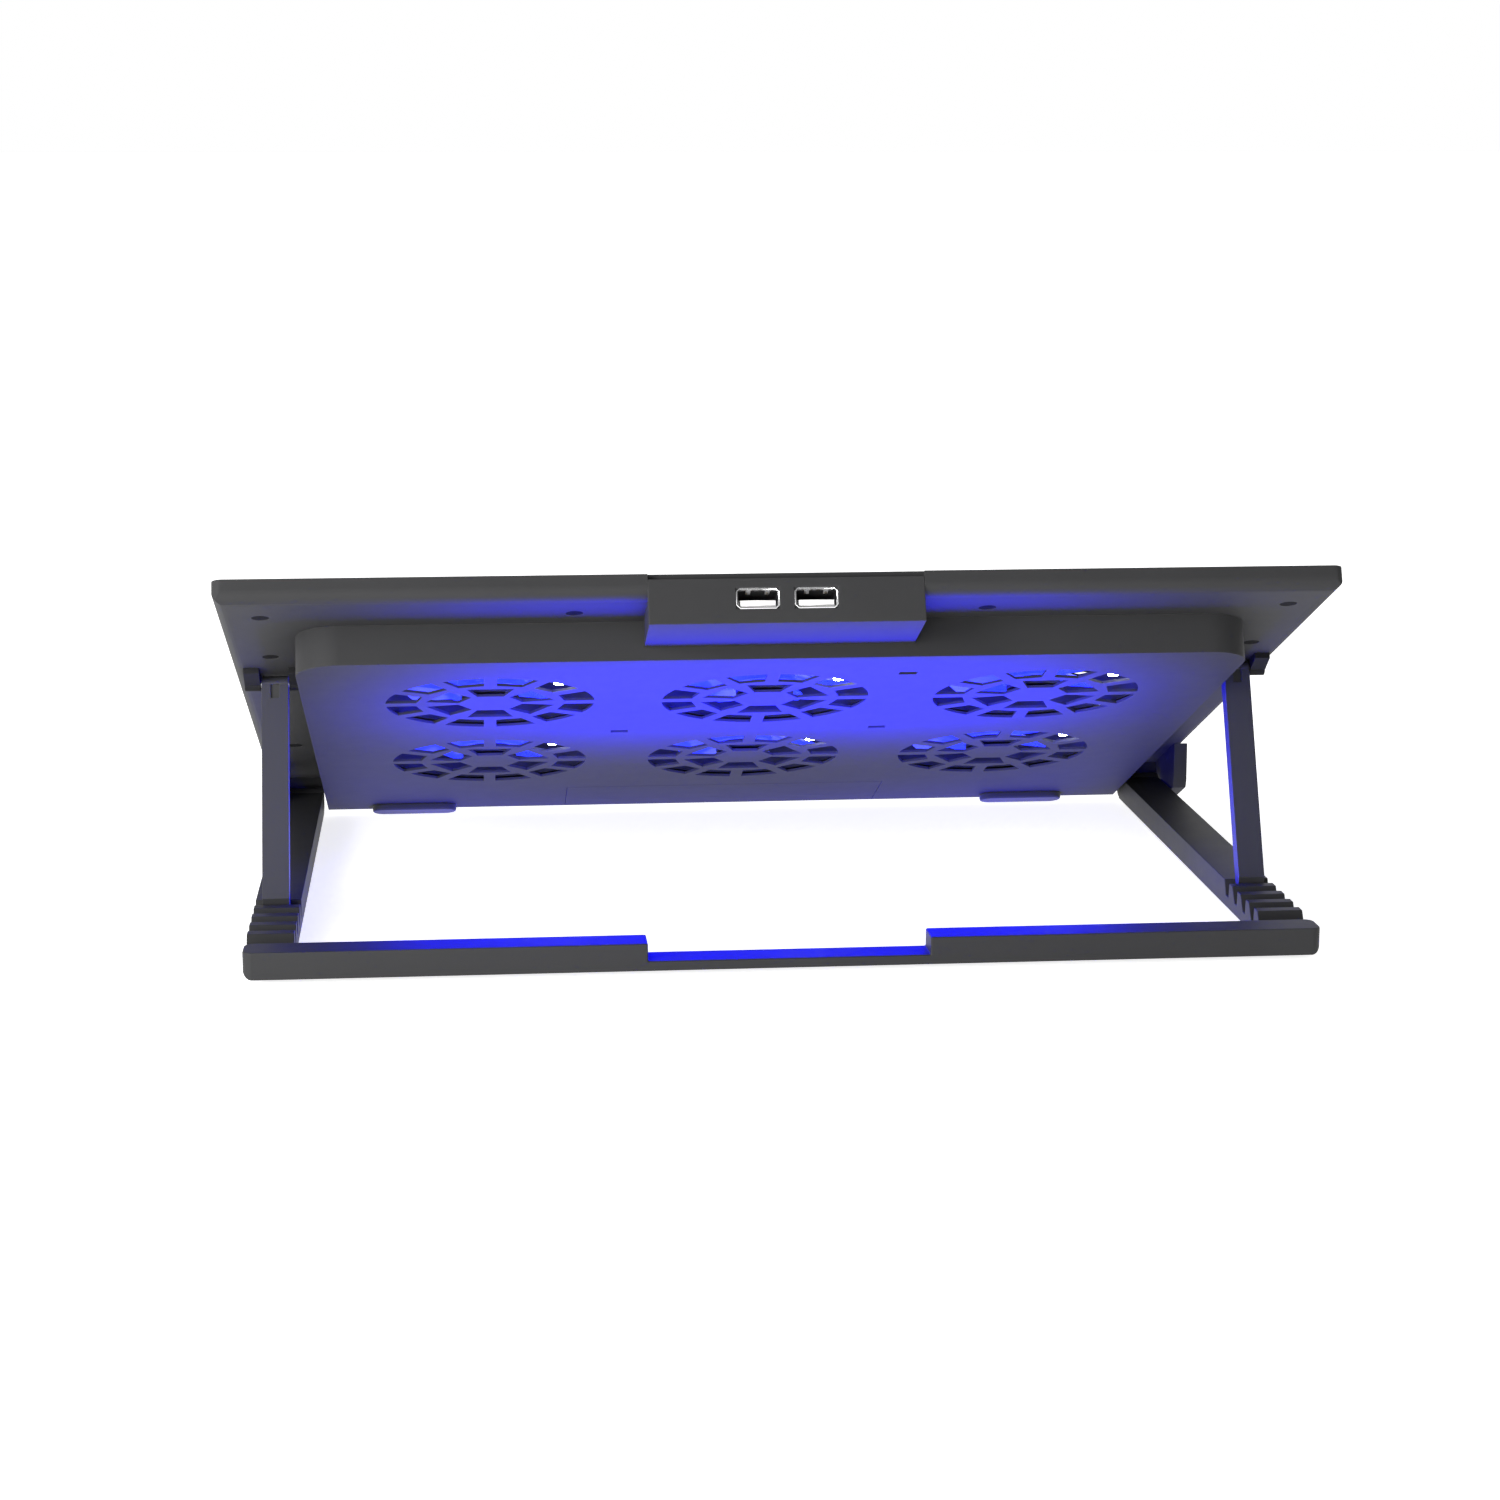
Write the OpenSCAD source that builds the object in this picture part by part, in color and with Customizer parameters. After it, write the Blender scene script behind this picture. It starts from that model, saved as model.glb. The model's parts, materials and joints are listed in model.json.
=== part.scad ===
// Laptop cooling pad: a six-fan tray hinged on a U-shaped base frame, propped up by two legs.

/* [Tray] */
// Width of the tray
tray_w = 366; // [340:1:400]
// Depth of the tray, front edge to rear edge
tray_l = 272.6; // [268:0.1:280]
// Height of the tray's side wall
tray_h = 7.9; // [7:0.1:9]
// Radius of the tray's four corners, seen from above
tray_corner_r = 3.5; // [3:0.5:8]
// Radius along the tray's lower edge
tray_edge_r = 4.5; // [2:0.5:5]
// Wall thickness of the mouldings
wall = 2; // [1.6:0.1:2.2]
// Tilt of the tray with the legs in the front notches
tilt = 23.6; // [23.4:0.1:23.8]

/* [Hinge] */
// Distance from the tray's front edge back to the hinge axis
hinge_setback = 10.1; // [9.8:0.1:12]
// Height of the tray's top edge above the hinge axis, square to the tray
hinge_drop = 18.5; // [18.3:0.1:19]
// Height of the hinge axis above the underside of the rails
hinge_h = 5.5; // [5.3:0.1:5.8]
// Radius of the rails' knuckles round the hinge pins
knuckle_r = 5; // [4.5:0.1:5.2]
// Radius of the two hinge pins
hinge_pin_r = 2; // [1.5:0.1:2.5]
// Radial running clearance on every pin
running_gap = 0.05; // [0.02:0.01:0.1]

/* [Fan housing] */
// Width of the deep fan housing
housing_w = 318; // [310:1:320]
// Front wall of the housing, measured back from the hinge axis
housing_front = -8.3; // [-8.5:0.1:-7]
// Rear wall of the housing, measured back from the hinge axis
housing_rear = 233; // [230:0.5:234]
// Depth of the housing below the tray's underside
housing_h = 13.4; // [12:0.1:13.6]
// Radius of the housing's two rear corners
housing_corner_r = 15; // [10:1:20]
// Spacing of the fans across the tray
fan_pitch_x = 95; // [92:0.5:97]
// Spacing of the two rows of fans
fan_pitch_y = 94.2; // [92:0.1:97]
// Middle of the front row of fans, measured back from the hinge axis
fan_row_y = 81.2; // [80:0.1:84]
// Outer radius of each grille
grille_r = 35.9; // [34:0.1:37]
// Width of the ribs in the grilles
rib_w = 4.4; // [3:0.1:5]

/* [Fans] */
// Radius of a fan at its blade tips
rotor_r = 33; // [30:0.5:33.5]
// Radius of a fan's hub
rotor_hub_r = 11.5; // [10:0.5:12]
// Number of blades on each fan
blades = 7; // [5:1:9]
// Pitch of the blades
blade_pitch = 38; // [30:1:45]

/* [Hub] */
// Width of the hub box
hub_w = 89.4; // [80:0.1:95]
// Depth of the hub box below the tray's top edge
hub_h = 16.8; // [16:0.1:17.5]
// Spacing of the two sockets
usb_pitch = 18.9; // [17:0.1:22]

/* [Base frame] */
// Half of the inner width between the rails
rail_inner = 160.5; // [160.2:0.1:161.5]
// Half of the outer width across the rails
rail_outer = 176; // [174:0.5:177]
// Half of the width of the rear bar
bar_half_w = 176; // [175:0.5:180]
// Height of the rails and the rear bar
rail_h = 9.2; // [9:0.1:9.6]
// Front face of the rear bar, measured back from the hinge axis
bar_front = 235.3; // [235:0.1:238]
// Rear face of the rear bar, measured back from the hinge axis
bar_rear = 247.7; // [247:0.1:250]
// Height of the floor of the recess in the rear bar
recess_floor = 3.3; // [3:0.1:4]
// Half of the width of the recess in the rear bar
recess_half_w = 46.1; // [45.5:0.1:50]
// Thickness of the rubber pads under the frame
pad_h = 1.5; // [1.5:0.1:2]

/* [Notches] */
// Number of teeth on each rail, with a notch before and after each
teeth = 4; // [3:1:4]
// Spacing of the teeth
tooth_pitch = 11.5; // [11.3:0.1:11.8]
// End of the plain rail, where the first notch starts
notch_start = 177.7; // [177:0.1:177.7]
// Height of the notch floors above the bottom of the rail
notch_floor = 4; // [3.6:0.1:4.1]

/* [Legs] */
// Width of each leg
leg_w = 9.1; // [8:0.1:9.4]
// Thickness of each leg
leg_t = 5.5; // [5:0.1:5.6]
// Middle of each leg, measured from the middle of the tray
leg_x = 168.8; // [168.5:0.1:169]
// Leg pivot, measured back from the hinge axis along the tray
pivot_y = 167.3; // [167.2:0.1:167.5]
// Leg pivot, above the hinge axis and square to the tray
pivot_z = 7.3; // [7.2:0.1:7.5]
// Length of each leg from its pin to its foot
leg_len = 80.6; // [80:0.1:80.7]
// Radius of the leg pins
leg_pin_r = 1.2; // [1:0.1:1.4]

/* [Laptop stops] */
// Width of each flip-up stop
stop_w = 56; // [40:1:70]
// Middle of each stop, measured from the middle of the tray
stop_x = 100; // [90:1:110]
// Length of each stop from its pin to its free edge
stop_l = 15; // [12:0.5:16]
// Radius of the stop pins
stop_pin_r = 1; // [0.8:0.1:1.2]

/* [Hidden] */
$fn = 48;
eps = 0.01;
sides = [-1, 1];

// Heights in the tray's own frame, above the hinge axis
top_z = hinge_drop;
under_z = top_z - tray_h;
housing_z = under_z - housing_h;
floor_z = housing_z + wall;
deck_z = under_z + wall;
hub_z = top_z - hub_h;
tray_front = -hinge_setback;
tray_rear = tray_l - hinge_setback;

// Top cover and its mesh
cover_inset = 3;
cover_z = top_z - 1.8;
cover_top = top_z + 0.6;
window_half_w = 148;
window_front = 20;
window_rear = 226;
mesh_t = 1;
mesh_margin = 5;
mesh_z = cover_z - mesh_t;
mesh_cell = 13;
mesh_rib = 3;

// Fans
fan_columns = [-1, 0, 1];
fan_rows = [0, 1];
rotor_z = floor_z + 2.6;
rotor_h = 8.4;
cup_wall = 1.2;
shaft_r = 1;
shaft_clear = 0.6;
stator_r = 8.8;
stator_h = 6.6;
motor_base_r = 10;
motor_base_h = 1.4;
blade_t = 1.5;
blade_chord = 12;
shroud_r = 37.2;
shroud_t = 1.4;
shroud_h = 12.4;
led_angle = 135;
led_size = [4, 7, 2.2];

// Grille openings: an outer ring of slots round six inner openings
ring_inner = 0.7 * grille_r;
inner_far = 0.58 * grille_r;
inner_near = 0.28 * grille_r;
inner_wide = 0.225 * grille_r;
inner_narrow = 0.127 * grille_r;

// Front cover plate, floor slots and feet in the housing floor; plate and feet sit a little off the middle
plate_half_w = 62;
plate_rear = 29.9;
plate_gap = 0.15;
plate_lip = 3;
slot_size = [6.2, 3.6];
floor_slots = [[48.5, 128.3], [-45, 128.3], [-45.5, 209.9]];
front_shift = 2.7;
foot_x = 122;
foot_l = 33;
foot_w = 9.4;
foot_h = 2.7;
foot_y = 0.6;

// Screws under the tray: [x, y], mirrored left to right
side_screw_x = 168.7;
screw_spots = [
    [side_screw_x, 53.7], [side_screw_x, 192.4], [side_screw_x, 243.7], [67.7, 244.4]
];
screw_r = 1.25;
screw_head_r = 2.7;
screw_head_h = 1.1;
screw_boss_r = 3.2;

// Sockets
usb_z = top_z - 8.5;
usb_open = [12.5, 5.1];
usb_wall = 0.4;
usb_flange = [14.2, 7.1];
usb_flange_t = 0.5;
usb_depth = 14;
tongue_t = 2.2;
board_z = usb_z - usb_open[1] / 2 - usb_wall - 1.6;

// Hinge skirts of the tray, and the knuckles on the rails
skirt_in = 177.6;
skirt_r = 6;
pin_in = 167;
hinge_z = pad_h + hinge_h;
pin_reach = 3.2;

// Lip along the tray's front edge
lip_t = 2.6;
lip_depth = 13;
housing_nose_r = 3;

// Leg brackets
ear_gap = 0.4;
ear_t = 5.4;
ear_r = 2.4;
ear_base = 10;
leg_in = leg_x - leg_w / 2;
leg_out = leg_x + leg_w / 2;
tip_len = 5;
tip_t = 1.7;
pivot_slot = [3, 8, 0.8];

// Teeth: front face, flat top and sloping back
tooth_front = 6.8;
tooth_top = 4.4;
tooth_slope = 3.6;
notch_lean = 2.3;
end_floor = 6.4;

// Stops
stop_t = 2.4;
stop_knuckle_r = 1.75;
stop_y = tray_front + 7.4;
stop_z = cover_top - 1.85;
stop_gap = 0.4;
pocket_floor = 1;
pocket_wall = 1.6;
pocket_back = stop_y + stop_l + stop_gap;
pocket_front = stop_y - 2.3;
pocket_z = stop_z - stop_knuckle_r - 0.25;

// Rubber strips on the top
strip_x = 163;
strip_w = 6;
strip_l = 150;
strip_y = 128;
strip_sink = 0.6;
strip_h = 1.2;

// The part stands on z = 0, with its origin under the middle of its outline
front_reach = tray_front * cos(tilt) - top_z * sin(tilt);
y_shift = -(bar_rear + front_reach) / 2;

// Puts the base frame's own coordinates (y back from the hinge axis, z up from the floor) in place
module in_base() {
    translate([0, y_shift, 0]) children();
}

// Puts the tray's own coordinates (y back along the tray, z square to it, from the hinge axis) in place
module in_tray() {
    translate([0, y_shift, hinge_z]) rotate([tilt, 0, 0]) children();
}

// A flat rectangle from corner a to corner b with round corners
module round_rect(a, b, r) {
    translate([a[0] + r, a[1]]) square([b[0] - a[0] - 2 * r, b[1] - a[1]]);
    translate([a[0], a[1] + r]) square([b[0] - a[0], b[1] - a[1] - 2 * r]);
    for (x = [a[0] + r, b[0] - r], y = [a[1] + r, b[1] - r]) translate([x, y]) circle(r);
}

// A box from corner a to corner b
module block(a, b) {
    translate(a) cube(b - a);
}

// A cylinder along X from x0 to x1
module x_rod(x0, x1, r) {
    translate([x0, 0, 0]) rotate([0, 90, 0]) cylinder(h = x1 - x0, r = r);
}

// Draws an outline given in the Y-Z plane from x0 to x1
module yz_slab(x0, x1) {
    translate([x0, 0, 0]) rotate([90, 0, 90]) linear_extrude(x1 - x0) children();
}

// ---- Base frame ----

// Side view of a rail: plain top, then the notches and teeth
module rail_outline() {
    notch_end = notch_start + notch_lean;
    last_end = notch_start + (teeth - 1) * tooth_pitch + tooth_front + tooth_top + tooth_slope;
    tooth_points = [
        for (i = [0:teeth - 1])
            for (p = [[tooth_front - 0.6, notch_floor], [tooth_front, rail_h],
                      [tooth_front + tooth_top, rail_h],
                      [tooth_front + tooth_top + tooth_slope, notch_floor]])
                [notch_start + i * tooth_pitch + p[0], p[1]]
    ];
    polygon(concat(
        [[0, 0], [0, rail_h], [notch_start, rail_h], [notch_end, notch_floor]],
        tooth_points,
        [[last_end + 1, end_floor], [bar_front, end_floor], [bar_front, 0]]
    ));
}

// A rail with the knuckle round its hinge pin
module rail(side) {
    mirror([side < 0 ? 1 : 0, 0, 0]) {
        yz_slab(rail_inner, rail_outer) rail_outline();
        translate([0, 0, hinge_h]) x_rod(rail_inner, rail_outer, knuckle_r);
    }
}

module base_rail(side) {
    color("dimgray") in_base() translate([0, 0, pad_h]) difference() {
        rail(side);
        translate([0, 0, hinge_h]) mirror([side < 0 ? 1 : 0, 0, 0])
            x_rod(pin_in, rail_outer + 1, hinge_pin_r);
    }
}
module base_rail_left() { base_rail(1); }
module base_rail_right() { base_rail(-1); }

// Rear bar, lower in the middle so that the sockets' leads can pass over it
module base_rear_bar() {
    color("dimgray") in_base() translate([0, bar_front, pad_h]) difference() {
        linear_extrude(rail_h) round_rect([-bar_half_w, 0], [bar_half_w, bar_rear - bar_front], 3);
        block([-recess_half_w, -1, recess_floor], [recess_half_w, bar_rear - bar_front + 1, rail_h + 1]);
        for (s = sides) mirror([s < 0 ? 1 : 0, 0, 0]) bar_corner_cut();
    }
}

// Rounds a lower end corner of the rear bar
module bar_corner_cut() {
    r = 3;
    translate([0, bar_rear - bar_front + 1, 0]) rotate([90, 0, 0]) linear_extrude(bar_rear - bar_front + 2)
        difference() {
            translate([bar_half_w - r, -1]) square([r + 1, r + 1]);
            translate([bar_half_w - r, r]) circle(r);
        }
}

module base_pads() {
    color("black") in_base() for (s = sides) {
        for (y = [40, 165]) translate([s * (rail_inner + rail_outer) / 2, y, 0]) linear_extrude(pad_h)
            round_rect([-4, -11], [4, 11], 3.9);
        translate([s * 140, bar_front + 3, 0]) linear_extrude(pad_h)
            round_rect([-14, -2.5], [14, 2.5], 2.4);
    }
}

// A steel pin held in the rail's knuckle and running in the tray's skirt
module hinge_pin(side) {
    color("silver") in_base() translate([0, 0, hinge_z]) mirror([side < 0 ? 1 : 0, 0, 0])
        x_rod(pin_in, skirt_in + pin_reach - 0.2, hinge_pin_r);
}
module hinge_pin_left() { hinge_pin(1); }
module hinge_pin_right() { hinge_pin(-1); }

// ---- Tray mouldings, in the tray's own frame ----

module tray_plan(inset) {
    round_rect([-tray_w / 2 + inset, tray_front + inset], [tray_w / 2 - inset, tray_rear - inset],
               tray_corner_r - inset / 2);
}

module housing_plan(inset) {
    r = housing_corner_r - inset;
    half = housing_w / 2 - inset;
    translate([-half, housing_front + inset])
        square([2 * half, housing_rear - housing_front - 2 * inset - r]);
    translate([-half + r, housing_rear - inset - r - 1]) square([2 * (half - r), r + 1]);
    for (s = sides) translate([s * (half - r), housing_rear - inset - r]) circle(r);
}

// The outside of the shallow tray, round along its lower edge
module tray_solid() {
    high = 3 * tray_h;
    intersection() {
        translate([0, 0, under_z]) linear_extrude(tray_h) tray_plan(0);
        translate([0, tray_rear + 1, 0]) rotate([90, 0, 0]) linear_extrude(tray_l + 2)
            round_rect([-tray_w / 2, under_z], [tray_w / 2, under_z + high], tray_edge_r);
        yz_slab(-tray_w / 2 - 1, tray_w / 2 + 1)
            round_rect([tray_front, under_z], [tray_rear, under_z + high], tray_edge_r);
    }
}

// Middle of fan n, 1 to 6: rear row first, from +X to -X
function fan_at(n) = [
    fan_pitch_x * (1 - (n - 1) % 3),
    fan_row_y + (n <= 3 ? fan_pitch_y : 0)
];

// Opening between two ribs that run out from the middle, from radius r0 to radius r1
module rib_wedge(r0, r1, half_angle) {
    near = r0 * tan(half_angle) - rib_w / 2 / cos(half_angle);
    far = r1 * tan(half_angle) - rib_w / 2 / cos(half_angle);
    polygon([[r0, -near], [r1, -far], [r1, far], [r0, near]]);
}

module grille_openings() {
    for (i = [0:5]) rotate(30 + 60 * i)
        polygon([[inner_near, -inner_narrow], [inner_far, -inner_wide],
                 [inner_far, inner_wide], [inner_near, inner_narrow]]);
    intersection() {
        circle(grille_r);
        for (i = [0:11]) rotate(15 + 30 * i) rib_wedge(ring_inner, grille_r + 2, 15);
    }
}

module housing_floor_openings() {
    for (n = [1:6]) translate(fan_at(n)) grille_openings();
    for (p = floor_slots) translate(p) square(slot_size, center = true);
}

// Hinge skirt: a plate that hangs from the tray's side round the hinge pin
module skirt() {
    x_rod(skirt_in, tray_w / 2, skirt_r);
    yz_slab(skirt_in, tray_w / 2)
        polygon([[-skirt_r + 0.15, 0], [-skirt_r + 0.15, under_z], [29.4, under_z], [23.7, -3.2],
                 [21.4, -skirt_r + 0.15], [0, -skirt_r + 0.15]]);
}

// The lip that hangs from the tray's front edge
module front_lip() {
    half = tray_w / 2 - tray_corner_r;
    yz_slab(-half, half) round_rect([tray_front, top_z - lip_depth], [tray_front + lip_t, deck_z], 1.2);
}

// Cuts the housing's lower front edge round
module nose_cut() {
    reach = housing_w;
    difference() {
        block([-reach, housing_front - 1, housing_z - 1],
              [reach, housing_front + housing_nose_r, housing_z + housing_nose_r]);
        translate([0, housing_front + housing_nose_r, housing_z + housing_nose_r])
            x_rod(-reach - 1, reach + 1, housing_nose_r);
    }
}

// One bracket ear beside a leg's pivot
module ear(x0, x1) {
    translate([0, pivot_y, pivot_z]) x_rod(x0, x1, ear_r);
    yz_slab(x0, x1)
        polygon([[pivot_y - ear_base, under_z], [pivot_y - ear_base, under_z - 2],
                 [pivot_y - ear_r, pivot_z - 1], [pivot_y + ear_r, pivot_z - 1],
                 [pivot_y + ear_base, under_z - 2], [pivot_y + ear_base, under_z]]);
}

// Screw holes through the tray's floor, with a seat for each head
module screw_holes() {
    for (s = sides, p = screw_spots) translate([s * p[0], p[1], under_z - 1]) {
        cylinder(h = tray_h, r = screw_r + 0.15);
        cylinder(h = 1 + screw_head_h, r = screw_head_r + 0.2);
    }
}

// Slim tray with a wall all round; its floor is open over the fan housing
module tray_shell() {
    color("dimgray") in_tray() difference() {
        union() {
            difference() {
                tray_solid();
                translate([0, 0, deck_z]) linear_extrude(tray_h) tray_plan(wall);
            }
            front_lip();
        }
        translate([0, 0, under_z - 1]) linear_extrude(wall + 2) housing_plan(wall);
        // the lip stops at the fan housing's front wall
        block([-housing_w / 2, housing_front, housing_z], [housing_w / 2, tray_front + lip_t + 1, under_z]);
        block([-hub_w / 2, housing_rear, hub_z - 1], [hub_w / 2, tray_rear + 1, top_z + 1]);
        screw_holes();
    }
}

// Deep box under the tray that holds the fans, with their grilles in its floor
module fan_housing() {
    color("dimgray") in_tray() difference() {
        translate([0, 0, housing_z]) linear_extrude(under_z - housing_z) housing_plan(0);
        nose_cut();
        translate([0, 0, floor_z]) linear_extrude(deck_z) housing_plan(wall);
        translate([0, 0, housing_z - 1]) linear_extrude(wall + 2) housing_floor_openings();
        translate([front_shift, 0, 0])
            block([-plate_half_w - plate_gap, housing_front + plate_lip, housing_z - 1],
                  [plate_half_w + plate_gap, plate_rear + plate_gap, floor_z + 1]);
    }
}

module hinge_skirt(side) {
    color("dimgray") in_tray() mirror([side < 0 ? 1 : 0, 0, 0]) difference() {
        skirt();
        x_rod(skirt_in - 1, skirt_in + pin_reach, hinge_pin_r + running_gap);
    }
}
module hinge_skirt_left() { hinge_skirt(1); }
module hinge_skirt_right() { hinge_skirt(-1); }

// Two ears that hold a leg's pin
module leg_bracket(side) {
    pin_end = leg_out + ear_gap + ear_t - 1;
    color("dimgray") in_tray() mirror([side < 0 ? 1 : 0, 0, 0]) difference() {
        union() {
            ear(rail_inner, leg_in - ear_gap);
            ear(leg_out + ear_gap, leg_out + ear_gap + ear_t);
        }
        translate([0, pivot_y, pivot_z]) x_rod(rail_inner - 1, pin_end, leg_pin_r);
    }
}
module leg_bracket_left() { leg_bracket(1); }
module leg_bracket_right() { leg_bracket(-1); }

// Round walls that guide the air into each fan
module fan_shrouds() {
    color("dimgray") in_tray() for (n = [1:6]) translate(concat(fan_at(n), floor_z)) difference() {
        cylinder(h = shroud_h, r = shroud_r + shroud_t);
        translate([0, 0, -1]) cylinder(h = shroud_h + 2, r = shroud_r);
    }
}

module front_cover_plate() {
    color("dimgray") in_tray() translate([front_shift, 0, 0])
        block([-plate_half_w, housing_front + plate_lip + plate_gap, housing_z],
              [plate_half_w, plate_rear, floor_z]);
}

module front_feet() {
    color("black") in_tray() for (s = sides)
        translate([s * foot_x + front_shift, foot_y, housing_z - foot_h]) linear_extrude(foot_h)
            round_rect([-foot_l / 2, -foot_w / 2], [foot_l / 2, foot_w / 2], foot_w / 2 - 0.1);
}

// Hexagonal openings of the mesh, in staggered rows
module mesh_openings() {
    row = mesh_cell * cos(30);
    columns = floor(window_half_w / mesh_cell) - 1;
    rows = floor((window_rear - window_front) / row / 2) - 1;
    translate([0, (window_front + window_rear) / 2])
        for (j = [-rows:rows], i = [-columns:columns])
            translate([(i + (j % 2 == 0 ? 0 : 0.5)) * mesh_cell, j * row])
                rotate(30) circle(r = (mesh_cell - mesh_rib) / 2 / cos(30), $fn = 6);
}

module mesh_panel() {
    color("gray") in_tray() translate([0, 0, mesh_z]) linear_extrude(mesh_t) difference() {
        round_rect([-window_half_w - mesh_margin, window_front - mesh_margin],
                   [window_half_w + mesh_margin, window_rear + mesh_margin], 4);
        mesh_openings();
    }
}

// Pocket that a stop folds into
module stop_pocket(grow, z0, z1) {
    block([-stop_w / 2 - stop_gap - grow, pocket_front - grow, z0],
          [stop_w / 2 + stop_gap + grow, pocket_back + grow, z1]);
}

module top_cover() {
    color("dimgray") in_tray() difference() {
        union() {
            translate([0, 0, cover_z]) linear_extrude(cover_top - cover_z) tray_plan(cover_inset);
            for (s = sides) {
                translate([s * stop_x, 0, 0]) stop_pocket(pocket_wall, pocket_z - pocket_floor, cover_z + 1);
                for (p = screw_spots) translate([s * p[0], p[1], deck_z])
                    cylinder(h = cover_z - deck_z + 0.5, r = screw_boss_r);
            }
        }
        translate([0, 0, cover_z - 1]) linear_extrude(cover_top)
            round_rect([-window_half_w, window_front], [window_half_w, window_rear], 8);
        for (s = sides) {
            translate([s * stop_x, 0, 0]) stop_pocket(0, pocket_z, cover_top + 1);
            translate([s * stop_x, stop_y, stop_z])
                x_rod(-stop_w / 2 - stop_gap - 1.4, stop_w / 2 + stop_gap + 1.4, stop_pin_r);
            translate([s * strip_x, strip_y, cover_top - strip_sink])
                block([-strip_w / 2, -strip_l / 2, 0], [strip_w / 2, strip_l / 2, 5]);
            for (p = screw_spots) translate([s * p[0], p[1], deck_z - 1])
                cylinder(h = cover_z - deck_z + 1.4, r = screw_r);
        }
    }
}

module grip_strips() {
    color("black") in_tray() for (s = sides) translate([s * strip_x, strip_y, cover_top - strip_sink])
        linear_extrude(strip_h) round_rect([-strip_w / 2, -strip_l / 2], [strip_w / 2, strip_l / 2], 2.9);
}

module tray_screws() {
    color("silver") in_tray() for (s = sides, p = screw_spots) translate([s * p[0], p[1], under_z + 0.1]) {
        difference() {
            cylinder(h = screw_head_h - 0.1, r = screw_head_r);
            for (a = [0, 90]) rotate(a) cube([3, 0.6, 1], center = true);
        }
        cylinder(h = cover_z - under_z, r = screw_r);
    }
}

// ---- Hub ----

module usb_at(side) {
    translate([side * usb_pitch / 2, tray_rear, usb_z]) children();
}

// A box centred on the socket's axis, from depth d0 to depth d1 inside the rear face
module usb_block(size, d0, d1) {
    block([-size[0] / 2, -d1, -size[1] / 2], [size[0] / 2, -d0, size[1] / 2]);
}

function usb_outer() = [usb_open[0] + 2 * usb_wall, usb_open[1] + 2 * usb_wall];

module hub_cover() {
    color("dimgray") in_tray() difference() {
        block([-hub_w / 2, housing_rear, hub_z], [hub_w / 2, tray_rear, cover_z]);
        block([-hub_w / 2 + wall, housing_rear - 1, hub_z + wall],
              [hub_w / 2 - wall, tray_rear - wall, cover_z + 1]);
        for (s = sides) usb_at(s) {
            usb_block(usb_outer(), -1, wall + 1);
            usb_block(usb_flange, -1, usb_flange_t);
        }
    }
}

module hub_board() {
    color("darkgreen") in_tray() {
        block([-34, housing_rear + 2, board_z], [34, tray_rear - wall - 0.5, board_z + 1.6]);
        for (s = sides)
            block([s * 27 - 4, housing_rear + 6, board_z + 1.5],
                  [s * 27 + 4, housing_rear + 14, board_z + 4]);
        for (s = sides) translate([s * 20, housing_rear + 8, board_z + 1.5]) cylinder(h = 5, r = 2.4);
    }
}

module usb_shell(side) {
    color("silver") in_tray() usb_at(side) difference() {
        union() {
            usb_block(usb_outer(), 0, usb_depth);
            usb_block(usb_flange, 0, usb_flange_t);
        }
        usb_block(usb_open, -1, usb_depth - usb_wall);
    }
}
module usb_shell_left() { usb_shell(1); }
module usb_shell_right() { usb_shell(-1); }

module usb_tongue(side) {
    color("white") in_tray() usb_at(side)
        block([-usb_open[0] / 2 + 0.4, -usb_depth + usb_wall, -usb_open[1] / 2],
              [usb_open[0] / 2 - 0.4, -0.8, -usb_open[1] / 2 + tongue_t]);
}
module usb_tongue_left() { usb_tongue(1); }
module usb_tongue_right() { usb_tongue(-1); }

// ---- Fans ----

module fan_motor(n) {
    color("dimgray") in_tray() translate(concat(fan_at(n), floor_z)) difference() {
        union() {
            cylinder(h = motor_base_h, r = motor_base_r);
            cylinder(h = stator_h, r = stator_r);
        }
        translate([0, 0, motor_base_h / 2]) cylinder(h = stator_h, r = shaft_r + running_gap);
    }
}
module fan_motor_1() { fan_motor(1); }
module fan_motor_2() { fan_motor(2); }
module fan_motor_3() { fan_motor(3); }
module fan_motor_4() { fan_motor(4); }
module fan_motor_5() { fan_motor(5); }
module fan_motor_6() { fan_motor(6); }

module blade() {
    translate([(rotor_hub_r + rotor_r) / 2 - 0.5, 0, rotor_h / 2]) rotate([blade_pitch, 0, 0])
        cube([rotor_r - rotor_hub_r + 1, blade_chord, blade_t], center = true);
}

module fan_rotor(n) {
    color("royalblue") in_tray() translate(concat(fan_at(n), rotor_z)) {
        intersection() {
            for (i = [0:blades - 1]) rotate(360 / blades * i) blade();
            difference() {
                cylinder(h = rotor_h, r = rotor_r);
                translate([0, 0, -1]) cylinder(h = rotor_h + 2, r = rotor_hub_r - 0.4);
            }
        }
        difference() {
            cylinder(h = rotor_h, r = rotor_hub_r);
            translate([0, 0, -1]) cylinder(h = rotor_h + 1 - cup_wall, r = rotor_hub_r - cup_wall);
        }
        translate([0, 0, shaft_clear - 2]) cylinder(h = rotor_h - shaft_clear + 1, r = shaft_r);
    }
}
module fan_rotor_1() { fan_rotor(1); }
module fan_rotor_2() { fan_rotor(2); }
module fan_rotor_3() { fan_rotor(3); }
module fan_rotor_4() { fan_rotor(4); }
module fan_rotor_5() { fan_rotor(5); }
module fan_rotor_6() { fan_rotor(6); }

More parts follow.
